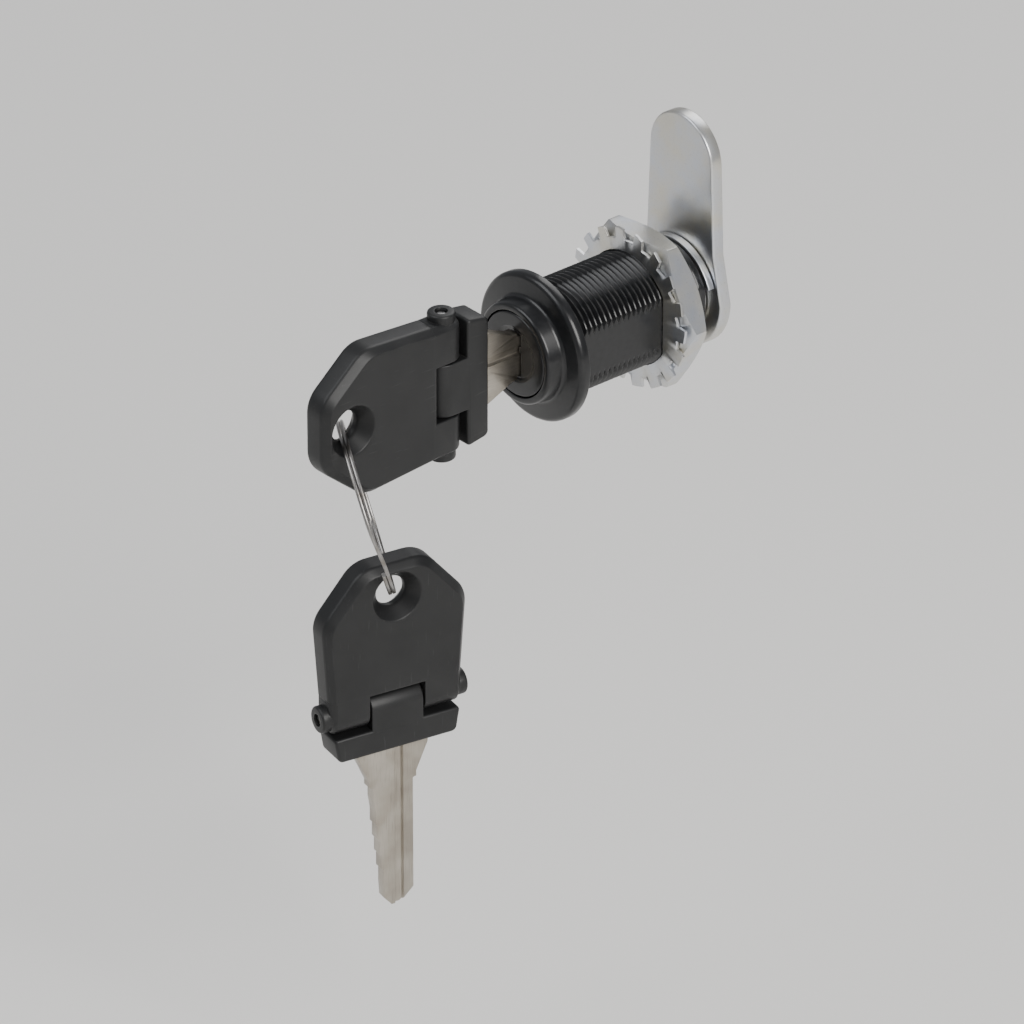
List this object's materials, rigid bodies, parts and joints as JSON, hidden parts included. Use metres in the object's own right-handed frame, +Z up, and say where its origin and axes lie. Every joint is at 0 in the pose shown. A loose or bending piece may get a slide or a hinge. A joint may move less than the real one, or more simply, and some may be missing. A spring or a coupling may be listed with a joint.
{
  "type": "cam lock",
  "caption": "Black round-flanged cam lock for a furniture board, with a folding key in its keyway and a spare key hanging from it on a wire ring.",
  "frame": {"origin": "on the lock's axis, in the plane of the flange's back face, where it lies on the board", "axes": "+Y along the lock's axis into the board, +Z up, +X to the right of a user who faces the lock from -Y"},
  "size_m": [0.0278, 0.0813, 0.1152],
  "materials": {
    "black_metal": "black electroplate over zinc die casting, semi-gloss",
    "zinc_plate": "bright zinc-plated steel",
    "brass": "stamped brass",
    "spring_steel": "drawn spring steel wire, bright",
    "nickel": "nickel-plated, satin",
    "black_plastic": "moulded, fine satin grain with worn gloss on the edges"
  },
  "bodies": {
    "lock_housing": {"housing": "black_metal", "toothed_washer": "zinc_plate", "hex_nut": "zinc_plate"},
    "lock_plug": {"plug": "black_metal", "stop_washer": "zinc_plate", "cam": "zinc_plate", "spring_washer": "spring_steel", "cam_screw": "zinc_plate", "retaining_spring": "spring_steel", "wafer_spring_1": "spring_steel", "wafer_spring_2": "spring_steel", "wafer_spring_3": "spring_steel", "wafer_spring_4": "spring_steel", "wafer_spring_5": "spring_steel"},
    "lock_wafer_1": {"wafer_1": "brass"},
    "lock_wafer_2": {"wafer_2": "brass"},
    "lock_wafer_3": {"wafer_3": "brass"},
    "lock_wafer_4": {"wafer_4": "brass"},
    "lock_wafer_5": {"wafer_5": "brass"},
    "retainer": {"retaining_wafer": "brass"},
    "main_key": {"main_key_blade": "nickel", "main_key_shank_block": "black_plastic", "main_key_hinge_pin": "spring_steel"},
    "main_key_handle": {"main_key_grip": "black_plastic"},
    "ring": {"key_ring": "spring_steel"},
    "spare_key_handle": {"spare_key_grip": "black_plastic"},
    "spare_key": {"spare_key_blade": "nickel", "spare_key_shank_block": "black_plastic", "spare_key_hinge_pin": "spring_steel"}
  },
  "joints": [
    {"name": "plug_turn", "type": "hinge", "parent": "lock_housing", "child": "lock_plug", "pos_m": [0, 0, 0], "axis": [0, 1, 0], "range_deg": [0, 90]},
    {"name": "key_slide", "type": "slide", "parent": "lock_plug", "child": "main_key", "axis": [0, -1, 0], "range_m": [0, 0.027]},
    {"name": "wafer_travel_1", "type": "slide", "parent": "lock_plug", "child": "lock_wafer_1", "axis": [0, 0, 1], "range_m": [0, 0.0008], "deforming": ["wafer_spring_1"]},
    {"name": "wafer_travel_2", "type": "slide", "parent": "lock_plug", "child": "lock_wafer_2", "axis": [0, 0, 1], "range_m": [0, 0.0008], "deforming": ["wafer_spring_2"]},
    {"name": "wafer_travel_3", "type": "slide", "parent": "lock_plug", "child": "lock_wafer_3", "axis": [0, 0, 1], "range_m": [0, 0.0008], "deforming": ["wafer_spring_3"]},
    {"name": "wafer_travel_4", "type": "slide", "parent": "lock_plug", "child": "lock_wafer_4", "axis": [0, 0, 1], "range_m": [0, 0.0008], "deforming": ["wafer_spring_4"]},
    {"name": "wafer_travel_5", "type": "slide", "parent": "lock_plug", "child": "lock_wafer_5", "axis": [0, 0, 1], "range_m": [0, 0.0008], "deforming": ["wafer_spring_5"]},
    {"name": "retainer_press", "type": "slide", "parent": "lock_plug", "child": "retainer", "axis": [0, 0, -1], "range_m": [0, 0.0009], "stiffness_N_per_m": 300, "deforming": ["retaining_spring"]},
    {"name": "main_key_fold", "type": "hinge", "parent": "main_key", "child": "main_key_handle", "pos_m": [0, -0.0195, 0], "axis": [0, 0, 1], "range_deg": [-90, 90]},
    {"name": "ring_swing", "type": "hinge", "parent": "main_key_handle", "child": "ring", "pos_m": [0, -0.0391, -0.0017], "axis": [0.848, -0.5299, 0], "range_deg": [-60, 15]},
    {"name": "spare_key_swing", "type": "hinge", "parent": "ring", "child": "spare_key_handle", "pos_m": [0.00368, -0.03322, -0.02759], "axis": [0.848, -0.5299, 0], "range_deg": [-35, 35]},
    {"name": "spare_key_fold", "type": "hinge", "parent": "spare_key_handle", "child": "spare_key", "pos_m": [0.00368, -0.03322, -0.04889], "axis": [0.1908, 0.9816, 0], "range_deg": [-90, 90]}
  ],
  "couplings": [
    {"joint": "wafer_travel_1", "follows": "key_slide", "ratio": 0.0296},
    {"joint": "wafer_travel_2", "follows": "key_slide", "ratio": 0.0296},
    {"joint": "wafer_travel_3", "follows": "key_slide", "ratio": 0.0296},
    {"joint": "wafer_travel_4", "follows": "key_slide", "ratio": 0.0296},
    {"joint": "wafer_travel_5", "follows": "key_slide", "ratio": 0.0296}
  ]
}
